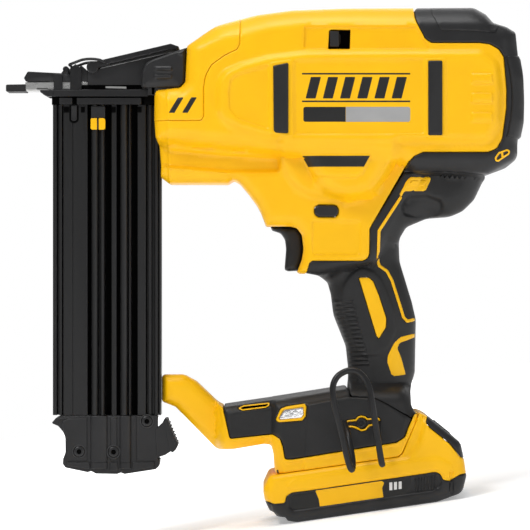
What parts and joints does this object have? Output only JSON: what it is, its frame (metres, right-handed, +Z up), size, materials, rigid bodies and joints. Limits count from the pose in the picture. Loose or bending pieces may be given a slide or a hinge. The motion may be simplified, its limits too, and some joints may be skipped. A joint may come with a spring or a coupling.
{
  "type": "cordless brad nailer",
  "caption": "Cordless brad nailer with flywheel drive, side-opening magazine, soft-grip handle, belt hook and slide-on battery pack; stands on the flat base of its battery.",
  "frame": {"origin": "centre of the battery's flat base, on the surface the tool stands on", "axes": "+Z up; +X towards the rear of the tool, the way the battery slides off; +Y to the tool's right-hand side as seen from behind the handle facing the nose"},
  "size_m": [0.2927, 0.1026, 0.2857],
  "materials": {
    "yellow_plastic": "fine moulded grain, satin",
    "black_plastic": "fine moulded grain",
    "black_rubber": "matt textured overmould",
    "black_metal": "black oxide, satin",
    "black_aluminium": "black anodised, extruded",
    "steel": "ground",
    "windings": "enamelled copper",
    "cell_wrap": "shrink wrap over a metal can",
    "clear_lens": "clear polycarbonate"
  },
  "bodies": {
    "tool_body": {"housing_left": "yellow_plastic", "housing_right": "yellow_plastic", "front_shroud": "yellow_plastic", "rear_cap": "black_plastic", "top_cover": "black_plastic", "nose_housing": "black_plastic", "trigger_switch": "black_plastic", "control_board": "black_plastic", "rear_bumper": "black_rubber", "grip_left": "black_rubber", "grip_right": "black_rubber", "front_pad_left": "black_rubber", "front_pad_right": "black_rubber", "rear_pad_left": "black_rubber", "rear_pad_right": "black_rubber", "driver_bumper": "black_rubber", "nose_frame": "black_metal", "belt_hook": "black_metal", "belt_hook_screw": "black_metal", "magazine_rail": "black_aluminium", "driver_guide": "steel", "lever_pin": "steel", "bearing_left": "steel", "bearing_right": "steel", "driver_rails": "steel", "return_spring_left": "steel", "return_spring_right": "steel", "trigger_spring": "steel", "stator": "windings", "solenoid": "windings", "lens_left": "clear_lens", "lens_right": "clear_lens"},
    "trigger": {"trigger": "black_plastic"},
    "lock_off": {"lock_off_button": "black_plastic"},
    "contact_trip": {"contact_trip": "steel", "trip_tip": "black_rubber"},
    "depth_wheel": {"depth_wheel": "black_plastic"},
    "latch_lever": {"latch_lever": "black_metal"},
    "bail": {"bail_wire": "steel"},
    "nose_door": {"nose_door": "black_metal"},
    "magazine": {"magazine_cover": "black_aluminium", "magazine_foot": "black_plastic"},
    "pusher": {"pusher": "yellow_plastic"},
    "magazine_latch": {"magazine_latch": "black_plastic"},
    "flywheel": {"flywheel": "steel", "motor_shaft": "steel"},
    "driver": {"driver": "steel"},
    "pinch_arm": {"pinch_arm": "black_metal"},
    "pinch_roller": {"pinch_roller": "steel"},
    "battery": {"battery_case_upper": "yellow_plastic", "battery_case_lower": "black_plastic", "battery_cell_1": "cell_wrap", "battery_cell_2": "cell_wrap", "battery_cell_3": "cell_wrap", "battery_cell_4": "cell_wrap", "battery_cell_5": "cell_wrap"},
    "battery_latch": {"battery_latch": "black_plastic"},
    "mode_button": {"mode_button": "black_plastic"},
    "stall_lever": {"stall_lever": "black_plastic"}
  },
  "joints": [
    {"name": "trigger_pull", "type": "slide", "parent": "tool_body", "child": "trigger", "axis": [0.9895, 0, -0.1444], "range_m": [0, 0.006], "stiffness_N_per_m": 400, "springref_m": -0.008, "deforming": ["trigger_spring"]},
    {"name": "lock_off_slide", "type": "slide", "parent": "tool_body", "child": "lock_off", "axis": [0, 1, 0], "range_m": [0, 0.004]},
    {"name": "contact_trip_slide", "type": "slide", "parent": "tool_body", "child": "contact_trip", "axis": [0.9895, 0, -0.1444], "range_m": [0, 0.008], "stiffness_N_per_m": 500, "springref_m": -0.01},
    {"name": "depth_wheel_turn", "type": "hinge", "parent": "tool_body", "child": "depth_wheel", "pos_m": [-0.09494, 0.0135, 0.26329], "axis": [0.9895, 0, -0.1444], "range_deg": [-180, 180]},
    {"name": "latch_lever_lift", "type": "hinge", "parent": "tool_body", "child": "latch_lever", "pos_m": [-0.11569, 0, 0.26996], "axis": [0, -1, 0], "range_deg": [0, 90]},
    {"name": "bail_swing", "type": "hinge", "parent": "latch_lever", "child": "bail", "pos_m": [-0.10849, 0, 0.27154], "axis": [0, -1, 0], "range_deg": [-125, 0]},
    {"name": "nose_door_open", "type": "hinge", "parent": "tool_body", "child": "nose_door", "pos_m": [-0.15259, 0, 0.26988], "axis": [0, -1, 0], "range_deg": [0, 20]},
    {"name": "magazine_slide", "type": "slide", "parent": "tool_body", "child": "magazine", "axis": [-0.1444, 0, -0.9895], "range_m": [0, 0.15]},
    {"name": "pusher_slide", "type": "slide", "parent": "magazine", "child": "pusher", "axis": [-0.1444, 0, -0.9895], "range_m": [0, 0.15], "stiffness_N_per_m": 15, "springref_m": -0.3},
    {"name": "magazine_latch_press", "type": "hinge", "parent": "magazine", "child": "magazine_latch", "pos_m": [-0.10416, 0, 0.06566], "axis": [0, 1, 0], "range_deg": [0, 10], "stiffness_Nm_per_rad": 0.3, "springref_deg": -11.46},
    {"name": "flywheel_spin", "type": "hinge", "parent": "tool_body", "child": "flywheel", "pos_m": [0.00994, 0, 0.21323], "axis": [0, 1, 0], "continuous": true},
    {"name": "driver_slide", "type": "slide", "parent": "tool_body", "child": "driver", "axis": [-0.9895, 0, 0.1444], "range_m": [0, 0.074], "stiffness_N_per_m": 120, "springref_m": -0.05, "deforming": ["return_spring_left", "return_spring_right"]},
    {"name": "pinch_arm_lift", "type": "hinge", "parent": "tool_body", "child": "pinch_arm", "pos_m": [-0.00845, 0, 0.26038], "axis": [0, -1, 0], "range_deg": [0, 4], "stiffness_Nm_per_rad": 3, "springref_deg": -5.73},
    {"name": "pinch_roller_spin", "type": "hinge", "parent": "pinch_arm", "child": "pinch_roller", "pos_m": [0.01561, 0, 0.25212], "axis": [0, 1, 0], "continuous": true},
    {"name": "battery_slide", "type": "slide", "parent": "tool_body", "child": "battery", "axis": [1, 0, 0], "range_m": [0, 0.11]},
    {"name": "battery_latch_press", "type": "slide", "parent": "battery", "child": "battery_latch", "axis": [-0.7264, 0, -0.6873], "range_m": [0, 0.003], "stiffness_N_per_m": 600, "springref_m": -0.002},
    {"name": "mode_button_press", "type": "slide", "parent": "tool_body", "child": "mode_button", "axis": [0, 0, -1], "range_m": [0, 0.002], "stiffness_N_per_m": 500, "springref_m": -0.002},
    {"name": "stall_lever_slide", "type": "slide", "parent": "tool_body", "child": "stall_lever", "axis": [0.9895, 0, -0.1444], "range_m": [0, 0.005], "stiffness_N_per_m": 300, "springref_m": -0.003}
  ],
  "couplings": [
    {"joint": "bail_swing", "follows": "latch_lever_lift", "ratio": -1.3333},
    {"joint": "nose_door_open", "follows": "latch_lever_lift", "ratio": 0.2222}
  ]
}
